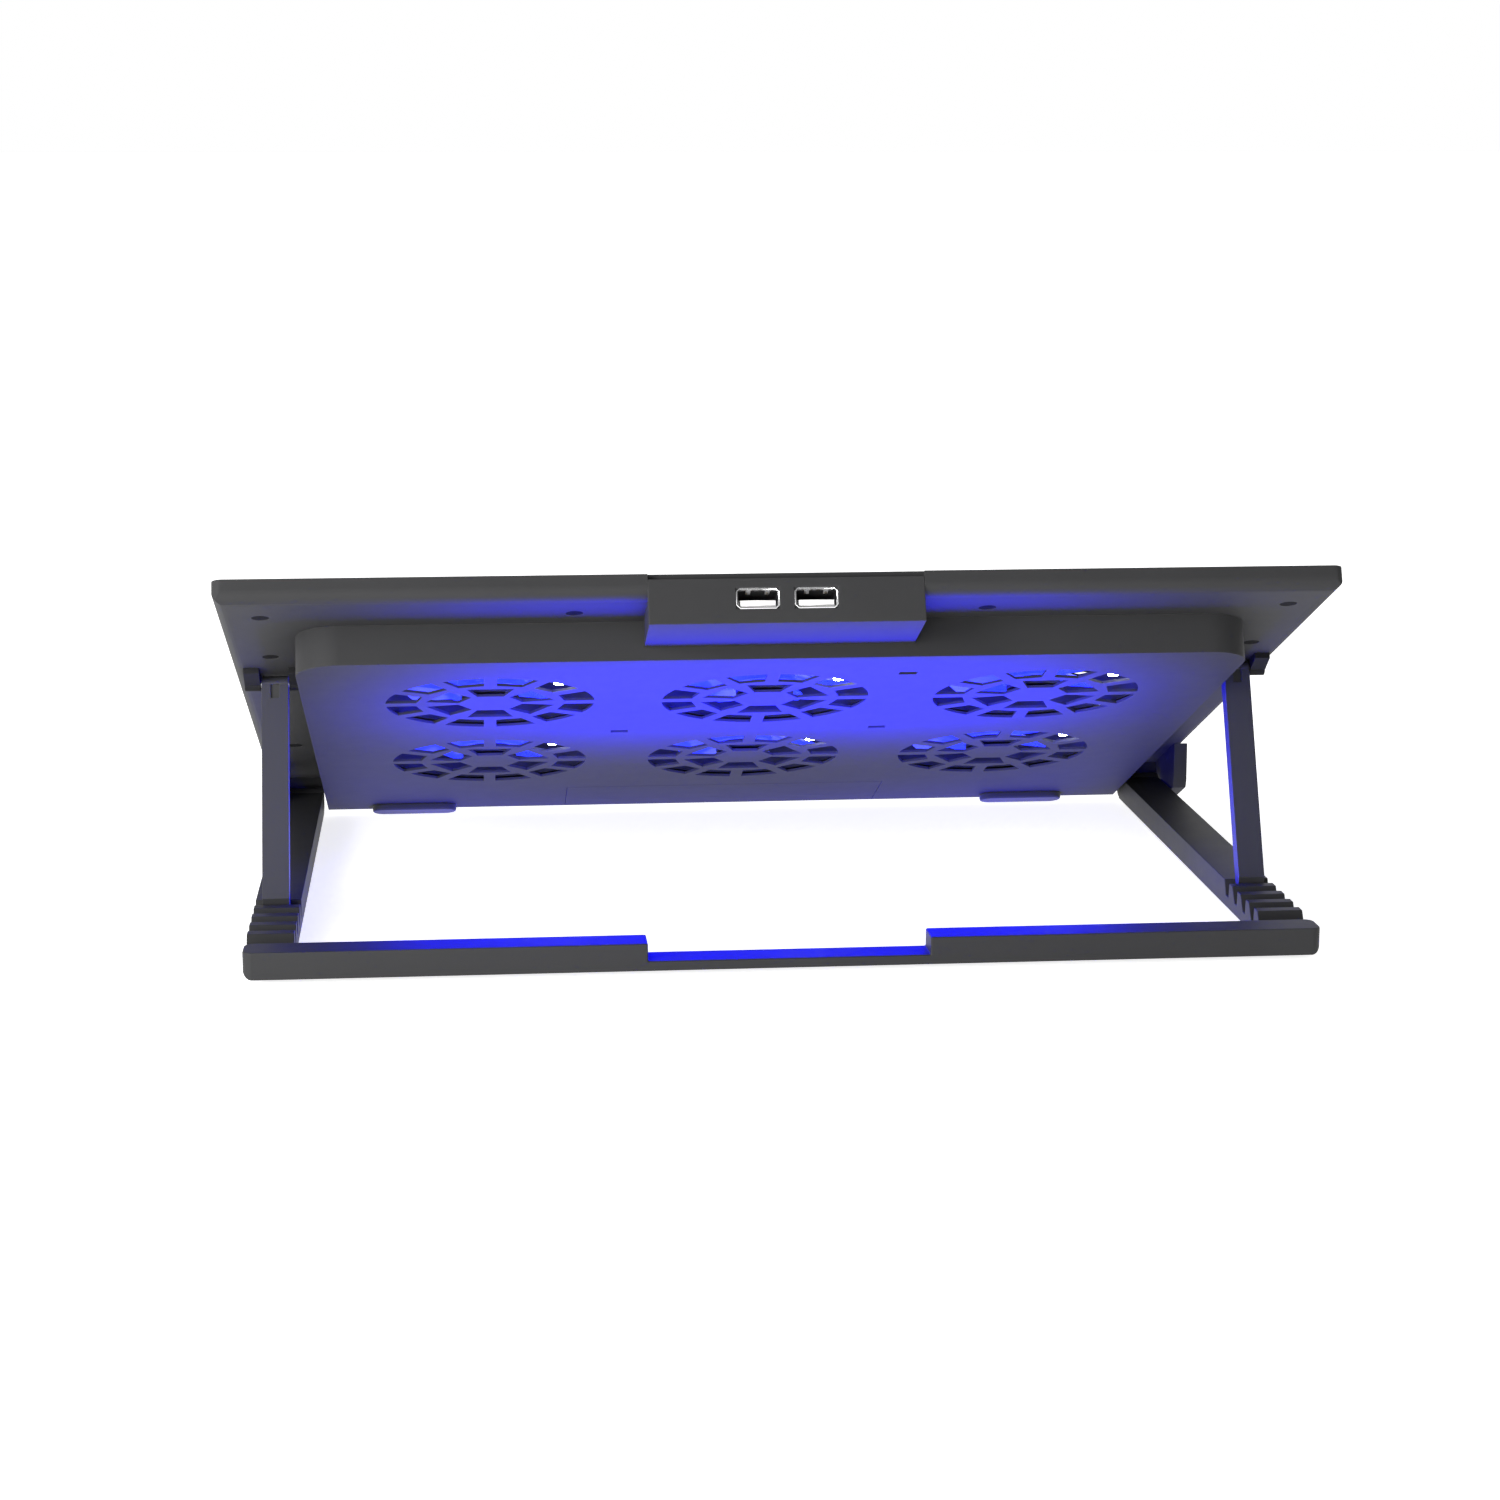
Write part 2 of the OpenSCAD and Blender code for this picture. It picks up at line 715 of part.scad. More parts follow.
// A light on the inside of the shroud, behind the fan and towards -X
module fan_led(n) {
    color("white") in_tray() translate(concat(fan_at(n), floor_z)) rotate(led_angle)
        translate([shroud_r - led_size[1] - 0.3, -led_size[0] / 2, 0])
            cube([led_size[1], led_size[0], led_size[2]]);
}
module fan_led_1() { fan_led(1); }
module fan_led_2() { fan_led(2); }
module fan_led_3() { fan_led(3); }
module fan_led_4() { fan_led(4); }
module fan_led_5() { fan_led(5); }
module fan_led_6() { fan_led(6); }

// ---- Legs ----

// Side view of a leg below its round head, which hangs from a pivot at [0, 0], foot down
module leg_outline() {
    half = leg_t / 2;
    polygon([[-half + 0.3, 0.4], [half - 0.3, 0.4], [half, -1.4], [half, -leg_len + tip_len],
             [-half + tip_t, -leg_len], [-half, -leg_len], [-half, -1.4]]);
}

module leg(side) {
    color("dimgray") in_tray() mirror([side < 0 ? 1 : 0, 0, 0])
        translate([0, pivot_y, pivot_z]) difference() {
            union() {
                x_rod(leg_in, leg_out, leg_t / 2);
                yz_slab(leg_in, leg_out) leg_outline();
            }
            x_rod(leg_in - 1, leg_out + 1, leg_pin_r + running_gap);
            block([leg_x - pivot_slot[0] / 2, leg_t / 2 - pivot_slot[2], -pivot_slot[1] + 2.4],
                  [leg_x + pivot_slot[0] / 2, leg_t, -0.6]);
        }
}
module leg_left() { leg(1); }
module leg_right() { leg(-1); }

module leg_pin(side) {
    color("silver") in_tray() mirror([side < 0 ? 1 : 0, 0, 0]) translate([0, pivot_y, pivot_z])
        x_rod(rail_inner + 0.2, leg_out + ear_gap + ear_t - 1, leg_pin_r);
}
module leg_pin_left() { leg_pin(1); }
module leg_pin_right() { leg_pin(-1); }

// ---- Laptop stops ----

module stop(side) {
    color("dimgray") in_tray() translate([side * stop_x, stop_y, stop_z]) difference() {
        union() {
            x_rod(-stop_w / 2, stop_w / 2, stop_knuckle_r);
            block([-stop_w / 2, 0, cover_top - stop_z - stop_t], [stop_w / 2, stop_l, cover_top - stop_z]);
        }
        x_rod(-stop_w / 2 - 1, stop_w / 2 + 1, stop_pin_r + running_gap);
    }
}
module stop_left() { stop(1); }
module stop_right() { stop(-1); }

module stop_pin(side) {
    color("silver") in_tray() translate([side * stop_x, stop_y, stop_z])
        x_rod(-stop_w / 2 - stop_gap - 1.2, stop_w / 2 + stop_gap + 1.2, stop_pin_r);
}
module stop_pin_left() { stop_pin(1); }
module stop_pin_right() { stop_pin(-1); }

base_rail_left();
base_rail_right();
base_rear_bar();
base_pads();
hinge_pin_left();
hinge_pin_right();
tray_shell();
fan_housing();
fan_shrouds();
hinge_skirt_left();
hinge_skirt_right();
leg_bracket_left();
leg_bracket_right();
front_cover_plate();
front_feet();
top_cover();
mesh_panel();
grip_strips();
tray_screws();
hub_cover();
hub_board();
usb_shell_left();
usb_shell_right();
usb_tongue_left();
usb_tongue_right();
fan_motor_1();
fan_motor_2();
fan_motor_3();
fan_motor_4();
fan_motor_5();
fan_motor_6();
fan_rotor_1();
fan_rotor_2();
fan_rotor_3();
fan_rotor_4();
fan_rotor_5();
fan_rotor_6();
fan_led_1();
fan_led_2();
fan_led_3();
fan_led_4();
fan_led_5();
fan_led_6();
leg_left();
leg_right();
leg_pin_left();
leg_pin_right();
stop_left();
stop_right();
stop_pin_left();
stop_pin_right();
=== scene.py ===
import json
import math
import bpy
import bmesh
from mathutils import Matrix, Vector

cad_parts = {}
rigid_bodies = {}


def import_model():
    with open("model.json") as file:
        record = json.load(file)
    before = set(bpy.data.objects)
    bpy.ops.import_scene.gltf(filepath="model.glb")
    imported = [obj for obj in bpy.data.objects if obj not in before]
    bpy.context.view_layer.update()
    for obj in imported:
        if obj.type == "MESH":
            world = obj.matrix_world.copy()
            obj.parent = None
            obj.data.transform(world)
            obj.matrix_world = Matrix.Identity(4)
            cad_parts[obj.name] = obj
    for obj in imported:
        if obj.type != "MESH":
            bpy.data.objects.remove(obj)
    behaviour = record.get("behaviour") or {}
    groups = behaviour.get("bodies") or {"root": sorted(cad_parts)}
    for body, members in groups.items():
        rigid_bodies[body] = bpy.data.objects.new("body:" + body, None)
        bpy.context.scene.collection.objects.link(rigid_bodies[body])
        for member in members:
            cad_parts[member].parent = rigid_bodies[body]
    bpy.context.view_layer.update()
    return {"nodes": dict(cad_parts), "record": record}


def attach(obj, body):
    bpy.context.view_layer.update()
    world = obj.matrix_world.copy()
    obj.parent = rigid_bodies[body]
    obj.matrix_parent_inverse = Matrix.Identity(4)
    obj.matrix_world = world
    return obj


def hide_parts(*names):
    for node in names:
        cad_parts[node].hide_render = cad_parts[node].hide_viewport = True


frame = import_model()
nodes = frame["nodes"]

# ---- Sizes: millimetres in the tray's own frame, which starts at the hinge and rises towards the rear ----
MM = 0.001
TILT = math.radians(23.6)
TRAY_TILT = next(j for j in frame["record"]["behaviour"]["joints"] if j["name"] == "tray_tilt")
HINGE = Vector(TRAY_TILT["pos_m"])
TRAY = Matrix.Translation(HINGE) @ Matrix.Rotation(TILT, 4, "X")
TOP_Z = 18.5  # top of the tray
HOUSING_Z = TOP_Z - 7.9 - 13.4  # underside of the fan housing, below the tray's own depth
FLOOR_Z = HOUSING_Z + 2  # inner face of the housing's floor
TRAY_REAR = -10.1 + 272.6
FANS = range(1, 7)
FAN_PITCH = (95.0, 94.2)
FAN_ROW_Y = 81.2
ROTOR_Z = FLOOR_Z + 2.6
ROTOR_H = 8.4
ROTOR_R = 33.0
HUB_R = 11.5
BLADES = 7
BLADE_TURN = 0.35  # radians from one fan to the next, so that they don't stand alike
GRILLE_R = 35.9
GRILLE_T = 1.0
LED_R = 33.4
LED_TURN = math.radians(135)
USB_PITCH = 18.9
USB_Z = TOP_Z - 8.5
USB_OPEN = (12.5, 5.1)
CELL = 7.6  # mesh panel: width of one hexagon, its rib and the sheet
RIB = 1.6
SHEET_T = 0.9
SHEET_Z = TOP_Z - 1.8 - 0.05
SHEET_X = 150
SHEET_Y = (17.5, 228.0)
STOP_X = 100
STOP_RIBS = 9
STOP_RIB_PITCH = 5.5


def fan_at(n):
    """Centre of fan n: 1 to 3 in the rear row and 4 to 6 in the front row, from +X to -X."""
    row = FAN_PITCH[1] if n <= 3 else 0.0
    return (FAN_PITCH[0] * (1 - (n - 1) % 3), FAN_ROW_Y + row)


# ---- Node materials ----
def node_tree(name):
    mat = bpy.data.materials.new(name)
    mat.use_nodes = True
    tree = mat.node_tree
    return mat, tree, tree.nodes["Principled BSDF"]


def add(tree, kind, **settings):
    n = tree.nodes.new(kind)
    for key, value in settings.items():
        setattr(n, key, value)
    return n


def noise(tree, coords, scale, detail=4.0, rough=0.55):
    n = add(tree, "ShaderNodeTexNoise")
    n.inputs["Scale"].default_value = scale
    n.inputs["Detail"].default_value = detail
    n.inputs["Roughness"].default_value = rough
    tree.links.new(coords, n.inputs["Vector"])
    return n.outputs["Fac"]


def ramp(tree, fac, stops):
    """Colours by value, from a list of (place, colour)."""
    n = add(tree, "ShaderNodeValToRGB")
    while len(n.color_ramp.elements) < len(stops):
        n.color_ramp.elements.new(0.5)
    for element, (place, colour) in zip(n.color_ramp.elements, stops):
        element.position = place
        element.color = (*colour, 1.0)
    tree.links.new(fac, n.inputs["Fac"])
    return n.outputs["Color"]


def spread(tree, fac, low, high):
    """A value of 0 to 1 brought to the range low to high."""
    n = add(tree, "ShaderNodeMapRange")
    n.inputs["To Min"].default_value = low
    n.inputs["To Max"].default_value = high
    tree.links.new(fac, n.inputs["Value"])
    return n.outputs["Result"]


WORN_RADIUS = 0.0006
WORN_DOT = (0.995, 0.86)
WORN_AMOUNT = 0.3


def moulded(name, colour, rough=0.5, grain=1500.0, depth=0.00004, strength=0.35, sheen=0.0,
            specular=0.3):
    """Moulded plastic or rubber: fine grain of the mould, slow colour change and worn, lighter edges."""
    mat, tree, bsdf = node_tree(name)
    coords = add(tree, "ShaderNodeTexCoord").outputs["Object"]
    slow = noise(tree, coords, 18.0, 3.0)
    fine = noise(tree, coords, grain, 5.0, 0.6)
    blotch = noise(tree, coords, 140.0, 4.0)
    dark = tuple(c * 0.95 for c in colour)
    light = tuple(min(1.0, c * 1.05) for c in colour)
    body = ramp(tree, slow, [(0.3, dark), (0.7, light)])
    worn = add(tree, "ShaderNodeMix", data_type="RGBA")
    edge = add(tree, "ShaderNodeBevel", samples=4)
    edge.inputs["Radius"].default_value = WORN_RADIUS
    geo = add(tree, "ShaderNodeNewGeometry")
    dot = add(tree, "ShaderNodeVectorMath", operation="DOT_PRODUCT")
    tree.links.new(edge.outputs["Normal"], dot.inputs[0])
    tree.links.new(geo.outputs["Normal"], dot.inputs[1])
    mask = add(tree, "ShaderNodeMapRange")
    mask.inputs["From Min"].default_value = WORN_DOT[0]
    mask.inputs["From Max"].default_value = WORN_DOT[1]
    mask.inputs["To Max"].default_value = WORN_AMOUNT
    tree.links.new(dot.outputs["Value"], mask.inputs["Value"])
    tree.links.new(mask.outputs["Result"], worn.inputs["Factor"])
    tree.links.new(body, worn.inputs["A"])
    worn.inputs["B"].default_value = (*[min(1.0, c * 1.9 + 0.01) for c in colour], 1)
    tree.links.new(worn.outputs["Result"], bsdf.inputs["Base Color"])
    tree.links.new(spread(tree, blotch, rough - 0.03, rough + 0.03), bsdf.inputs["Roughness"])
    bump = add(tree, "ShaderNodeBump")
    bump.inputs["Strength"].default_value = strength
    bump.inputs["Distance"].default_value = depth
    tree.links.new(fine, bump.inputs["Height"])
    tree.links.new(bump.outputs["Normal"], bsdf.inputs["Normal"])
    bsdf.inputs["Specular IOR Level"].default_value = specular
    bsdf.inputs["Sheen Weight"].default_value = sheen
    return mat


def metal(name, colour, rough=0.3, brushed=(1.0, 1.0, 1.0), scale=900.0):
    """Metal with fine lines, which run along an axis whose scale in brushed is small."""
    mat, tree, bsdf = node_tree(name)
    coords = add(tree, "ShaderNodeTexCoord").outputs["Object"]
    stretch = add(tree, "ShaderNodeMapping")
    stretch.inputs["Scale"].default_value = brushed
    tree.links.new(coords, stretch.inputs["Vector"])
    lines = noise(tree, stretch.outputs["Vector"], scale, 4.0)
    slow = noise(tree, coords, 60.0, 3.0)
    dark = tuple(c * 0.85 for c in colour)
    tree.links.new(ramp(tree, slow, [(0.3, dark), (0.7, colour)]), bsdf.inputs["Base Color"])
    tree.links.new(spread(tree, lines, rough - 0.1, rough + 0.12), bsdf.inputs["Roughness"])
    bsdf.inputs["Metallic"].default_value = 1.0
    bump = add(tree, "ShaderNodeBump")
    bump.inputs["Strength"].default_value = 0.2
    bump.inputs["Distance"].default_value = 0.00002
    tree.links.new(lines, bump.inputs["Height"])
    tree.links.new(bump.outputs["Normal"], bsdf.inputs["Normal"])
    return mat


def clear_plastic(name, colour, painted_glow):
    """Clear coloured plastic with a painted glow: emission that stands in for the fans' LED light falling on
    it.
    """
    mat, tree, bsdf = node_tree(name)
    coords = add(tree, "ShaderNodeTexCoord").outputs["Object"]
    slow = noise(tree, coords, 45.0, 3.0)
    deep = tuple(c * 0.6 for c in colour)
    tint = ramp(tree, slow, [(0.3, deep), (0.75, colour)])
    tree.links.new(tint, bsdf.inputs["Base Color"])
    tree.links.new(tint, bsdf.inputs["Emission Color"])
    # Painted glow: the blades give off light of their own in place of the LEDs' light on them
    bsdf.inputs["Emission Strength"].default_value = painted_glow
    bsdf.inputs["Transmission Weight"].default_value = 0.45
    bsdf.inputs["IOR"].default_value = 1.49
    tree.links.new(spread(tree, noise(tree, coords, 300.0), 0.08, 0.22), bsdf.inputs["Roughness"])
    return mat


def lit(name, colour, strength):
    """A lamp's own glow."""
    mat, tree, bsdf = node_tree(name)
    coords = add(tree, "ShaderNodeTexCoord").outputs["Object"]
    fac = noise(tree, coords, 500.0, 2.0)
    pale = tuple(c * 0.9 for c in colour)
    tint = ramp(tree, fac, [(0.2, pale), (0.8, colour)])
    tree.links.new(tint, bsdf.inputs["Base Color"])
    tree.links.new(tint, bsdf.inputs["Emission Color"])
    bsdf.inputs["Emission Strength"].default_value = strength
    bsdf.inputs["Roughness"].default_value = 0.2
    return mat


SHELL = moulded("shell_plastic", (0.030, 0.030, 0.031), 0.62, specular=0.12)
FRAME = moulded("frame_plastic", (0.019, 0.019, 0.020), 0.53, specular=0.25)
PLATE = moulded("plate_plastic", (0.0295, 0.0295, 0.0305), 0.62, grain=1700.0, specular=0.12)
LEG = moulded("leg_plastic", (0.028, 0.028, 0.029), 0.50, grain=1700.0)
# Darker than the shell: painted shade for the leg brackets, which hang in shadow below the tray
BRACKET_PAINTED_SHADE = moulded("bracket_plastic_painted_shade", (0.012, 0.012, 0.013), 0.65, specular=0.1)
RUBBER = moulded("soft_rubber", (0.018, 0.018, 0.019), 0.78, grain=2400.0, depth=0.00006, strength=0.5,
                 sheen=0.15)
MOTOR = moulded("motor_plastic", (0.02, 0.02, 0.022), 0.5)
MESH = metal("mesh_paint", (0.06, 0.06, 0.065), 0.45, scale=1400.0)
STEEL = metal("pin_steel", (0.50, 0.50, 0.51), 0.3, (0.1, 1.0, 1.0))
SCREW = moulded("screw_black", (0.007, 0.007, 0.008), 0.75, grain=2600.0, specular=0.05)
SOCKET = metal("socket_steel", (0.80, 0.80, 0.81), 0.22, (1.0, 0.15, 1.0))
# A darker copy of the socket steel: painted shade for the recess inside the socket
SOCKET_PAINTED_SHADE = metal("socket_inside_painted_shade", (0.10, 0.10, 0.105), 0.5, (1.0, 0.15, 1.0))
GOLD = metal("contact_gold", (0.85, 0.62, 0.25), 0.25)
INSERT = moulded("socket_insert", (0.85, 0.85, 0.84), 0.4, grain=2600.0, strength=0.15)
BOARD = moulded("board_green", (0.015, 0.10, 0.045), 0.35, grain=800.0, strength=0.2)
# Fan blades: clear blue plastic with a painted blue glow for the LED light inside the fans
BLUE = clear_plastic("clear_blue", (0.05, 0.08, 0.95), 0.9)
GLOW = lit("led_glow", (0.80, 0.86, 1.0), 60.0)


# ---- Building pieces ----
def finish_mesh(name, bm, material, body, smooth=35.0, place=None, replaces=()):
    """Makes the piece: mesh in place, material or materials, body and the CAD nodes it replaces."""
    if place is not None:
        bm.transform(place)
    bmesh.ops.recalc_face_normals(bm, faces=bm.faces)
    mesh = bpy.data.meshes.new(name)
    bm.to_mesh(mesh)
    bm.free()
    mesh.shade_smooth()
    mesh.set_sharp_from_angle(angle=math.radians(smooth))
    obj = bpy.data.objects.new(name, mesh)
    bpy.context.scene.collection.objects.link(obj)
    for m in material if isinstance(material, tuple) else (material,):
        mesh.materials.append(m)
    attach(obj, body)
    if replaces:
        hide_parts(*replaces)
    return obj


def scaled(matrix):
    """Millimetres in a piece's own coordinates to metres in the row frame."""
    return matrix @ Matrix.Scale(MM, 4)


def in_tray(x, y, z, turn=0.0):
    """A place in the tray's own frame, given in millimetres, with a turn about the tray's Z."""
    spot = Matrix.Translation(Vector((x, y, z)) * MM)
    return TRAY @ spot @ Matrix.Rotation(turn, 4, "Z")


def lathe(bm, profile, segments=64):
    """Turns an outline of (radius, height) about Z."""
    step = 2 * math.pi / segments
    rings = []
    for r, z in profile:
        count = segments if r else 1
        rings.append([bm.verts.new((r * math.cos(step * i), r * math.sin(step * i), z)) for i in range(count)])
    for a, b in zip(rings, rings[1:]):
        for i in range(segments):
            k = (i + 1) % segments
            quad = [a[i % len(a)], a[k % len(a)], b[k % len(b)], b[i % len(b)]]
            unique = list(dict.fromkeys(quad))
            if len(unique) > 2:
                bm.faces.new(unique)


def loft(bm, loops):
    """A closed skin through loops of equal length, capped at both ends."""
    rings = [[bm.verts.new(p) for p in loop] for loop in loops]
    count = len(rings[0])
    for a, b in zip(rings, rings[1:]):
        for i in range(count):
            k = (i + 1) % count
            bm.faces.new([a[i], a[k], b[k], b[i]])
    bm.faces.new(list(reversed(rings[0])))
    bm.faces.new(rings[-1])


def section(x, y, low, high, half, half_top):
    """One cross-section of a bar along Y, narrower at the top where half_top is smaller."""
    return [(x - half, y, low), (x + half, y, low), (x + half_top, y, high), (x - half_top, y, high)]


SAME_POINT = 2e-6  # metres
FLAT = math.radians(0.6)  # faces that turn less than this become one
SHARP = math.radians(28)  # edges that turn more than this are rounded
SMOOTH = 32.0


def softened(node, material, width, body, segments=2, reshape=None, merge=True):
    """The CAD node's own shape with its sharp edges rounded, as the mould leaves them."""
    bm = bmesh.new()
    bm.from_mesh(nodes[node].data)
    bmesh.ops.remove_doubles(bm, verts=bm.verts, dist=SAME_POINT)
    if reshape:
        reshape(bm)
    if merge:
        bmesh.ops.dissolve_limit(bm, angle_limit=FLAT, verts=bm.verts, edges=bm.edges)
    edges = [e for e in bm.edges if len(e.link_faces) == 2 and e.calc_face_angle(0) > SHARP]
    bmesh.ops.bevel(bm, geom=edges, offset=width * MM, segments=segments, profile=0.5, affect="EDGES",
                    clamp_overlap=True)
    obj = finish_mesh(node + "_body", bm, material, body, SMOOTH, replaces=(node,))
    flatten_shading(obj)


def thin_grilles(bm):
    """Lowers the upper edges of the grilles' openings: their ribs get thinner than the floor round them."""
    back = TRAY.inverted()
    for v in bm.verts:
        spot = (back @ v.co) / MM
        if abs(spot.z - FLOOR_Z) > 0.01:
            continue
        reach = min(math.hypot(spot.x - fan_at(n)[0], spot.y - fan_at(n)[1]) for n in FANS)
        if reach < GRILLE_R + 0.2:
            spot.z = HOUSING_Z + GRILLE_T
            v.co = TRAY @ (spot * MM)


def flatten_shading(obj):
    """Flat faces shade flat and only the rounded edges shade smooth."""
    weighted = obj.modifiers.new("weighted", "WEIGHTED_NORMAL")
    weighted.keep_sharp = True
    weighted.weight = 100
    graph = bpy.context.evaluated_depsgraph_get()
    settled = bpy.data.meshes.new_from_object(obj.evaluated_get(graph))
    obj.modifiers.clear()
    obj.data = settled


# ---- CAD nodes that keep their own shape ----
KEPT = (("tray_screws", SCREW), ("hub_board", BOARD), ("fan_shrouds", MOTOR), ("fan_motor", MOTOR),
        ("hinge_pin", STEEL), ("leg_pin", STEEL), ("stop_pin", STEEL))
for start, material in KEPT:
    for name, obj in nodes.items():
        if name.startswith(start):
            for entry in obj.material_slots:
                entry.material = material

# ---- Mouldings with rounded edges ----
for part in ("base_rail_left", "base_rail_right", "base_rear_bar"):
    softened(part, FRAME, 0.5, "base")
for part in ("hinge_skirt_left", "hinge_skirt_right"):
    softened(part, SHELL, 0.35, "tray")
# The brackets get the darker plastic as painted shade
for part in ("leg_bracket_left", "leg_bracket_right"):
    softened(part, BRACKET_PAINTED_SHADE, 0.6, "tray")
softened("leg_left", LEG, 0.5, "leg_left")
softened("leg_right", LEG, 0.5, "leg_right")
softened("hub_cover", SHELL, 0.3, "tray", merge=False)
softened("tray_shell", SHELL, 0.35, "tray")
softened("fan_housing", SHELL, 0.25, "tray", reshape=thin_grilles)
softened("front_cover_plate", PLATE, 0.25, "tray")
softened("base_pads", RUBBER, 0.35, "base")
softened("front_feet", RUBBER, 0.8, "tray", segments=3)
softened("grip_strips", RUBBER, 0.4, "tray")
softened("top_cover", SHELL, 0.35, "tray")


# ---- Fans: curved blades round a domed hub ----
STEPS = 10  # along a blade
ACROSS = 8
HALF_T = 0.62
ROOT_R = HUB_R - 0.6
SPAN = ROTOR_R - 0.5 - HUB_R + 0.6


def blade_row(bm, angle, u, side):
    """Points across a blade at the share u of its length, on its upper or lower face."""
    r = ROOT_R + SPAN * u
    half = 0.40 - 0.04 * u
    row = []
    for k in range(ACROSS + 1):
        v = k / ACROSS * 2 - 1
        turn = angle + 0.32 * u * u + v * half
        lift = ROTOR_H / 2 + v * (3.3 - 0.9 * u) + 0.7 * (1 - v * v)
        thin = 1 - 0.5 * v * v
        row.append(bm.verts.new((r * math.cos(turn), r * math.sin(turn), lift + side * thin)))
    return row


def blade(bm, angle):
    """One blade: an upper and a lower face, each STEPS by ACROSS, joined along all four edges."""
    top, under = [[blade_row(bm, angle, i / STEPS, side) for i in range(STEPS + 1)]
                  for side in (HALF_T, -HALF_T)]
    for i in range(STEPS):
        for k in range(ACROSS):
            bm.faces.new([top[i][k], top[i + 1][k], top[i + 1][k + 1], top[i][k + 1]])
            bm.faces.new([under[i][k], under[i][k + 1], under[i + 1][k + 1], under[i + 1][k]])
    for i in range(STEPS):
        for k in (0, ACROSS):
            bm.faces.new([top[i][k], top[i + 1][k], under[i + 1][k], under[i][k]])
    for k in range(ACROSS):
        for i in (0, STEPS):
            bm.faces.new([top[i][k], top[i][k + 1], under[i][k + 1], under[i][k]])


HUB = [(0, ROTOR_H), (7.5, ROTOR_H), (HUB_R - 1.4, ROTOR_H - 0.3), (HUB_R - 0.4, ROTOR_H - 1.1),
       (HUB_R, ROTOR_H - 2.2), (HUB_R, 0.3), (HUB_R - 0.3, 0.0), (HUB_R - 1.0, 0.0), (HUB_R - 1.2, 0.3),
       (HUB_R - 1.2, ROTOR_H - 1.2), (1.0, ROTOR_H - 1.2), (1.0, -1.2), (0.7, -1.4), (0, -1.4)]
for n in FANS:
    bm = bmesh.new()
    for i in range(BLADES):
        blade(bm, 2 * math.pi / BLADES * i)
    lathe(bm, HUB)
    x, y = fan_at(n)
    finish_mesh("fan_blades_%d" % n, bm, BLUE, "fan_%d" % n, 40,
                scaled(in_tray(x, y, ROTOR_Z, BLADE_TURN * n)), ("fan_rotor_%d" % n,))

# ---- Lights: a bulb at the edge of each fan, seen from below through the grille ----
BULB = [(0, 2.35), (0.8, 2.25), (1.4, 1.9), (1.8, 1.3), (1.8, 0.4), (1.95, 0.4), (1.95, 0.02), (0, 0.02)]
BULB_STRETCH = 1.25
for n in FANS:
    x, y = fan_at(n)
    place = in_tray(x + LED_R * math.cos(LED_TURN), y + LED_R * math.sin(LED_TURN), HOUSING_Z + GRILLE_T,
                    LED_TURN)
    bm = bmesh.new()
    lathe(bm, BULB, 32)
    bm.transform(Matrix.Diagonal((BULB_STRETCH, 1.0, 1.0, 1.0)))
    finish_mesh("fan_light_%d" % n, bm, GLOW, "tray", 40, scaled(place), ("fan_led_%d" % n,))


# ---- Sockets: folded steel shell with painted shade inside, white insert and contacts ----
def socket_loop(w, h, cut, depth):
    """A rectangle with cut corners, at a depth behind the tray's rear face."""
    a, b = w / 2, h / 2
    flat = [(-a + cut, -b), (a - cut, -b), (a, -b + cut), (a, b - cut), (a - cut, b), (-a + cut, b),
            (-a, b - cut), (-a, -b + cut)]
    return [(px, -depth, pz) for px, pz in flat]


# From its inner end out to the flared rim and back along its outside: wider, higher, corner, depth
SOCKET_SHELL = ((0, 0, 0.35, 13.4), (0, 0, 0.35, 0.7), (0.5, 0.5, 0.55, 0.1), (1.3, 1.5, 1.15, -0.02),
                (1.6, 1.9, 1.3, 0.12), (1.6, 1.9, 1.3, 0.5), (0.8, 0.8, 0.7, 0.5), (0.8, 0.8, 0.7, 13.8))
SOCKET_LIP = -0.65  # faces deeper than this get the painted shade of the inside
SPRING_X = 3.1
SPRING_T = 0.15
# Sections of a spring in the shell's roof: y, width, distance below the roof
SPRING = ((-0.6, 1.6, 0.02), (-2.2, 1.5, 0.75), (-4.2, 1.3, 0.25), (-5.5, 1.1, 0.02))
CONTACTS = 4
CONTACT_X = 3.5
CONTACT = ((-2.6, 0.01), (-3.0, 0.05), (-8.5, 0.05), (-9.0, 0.01))  # y, height above the insert
CONTACT_Z = 2.2
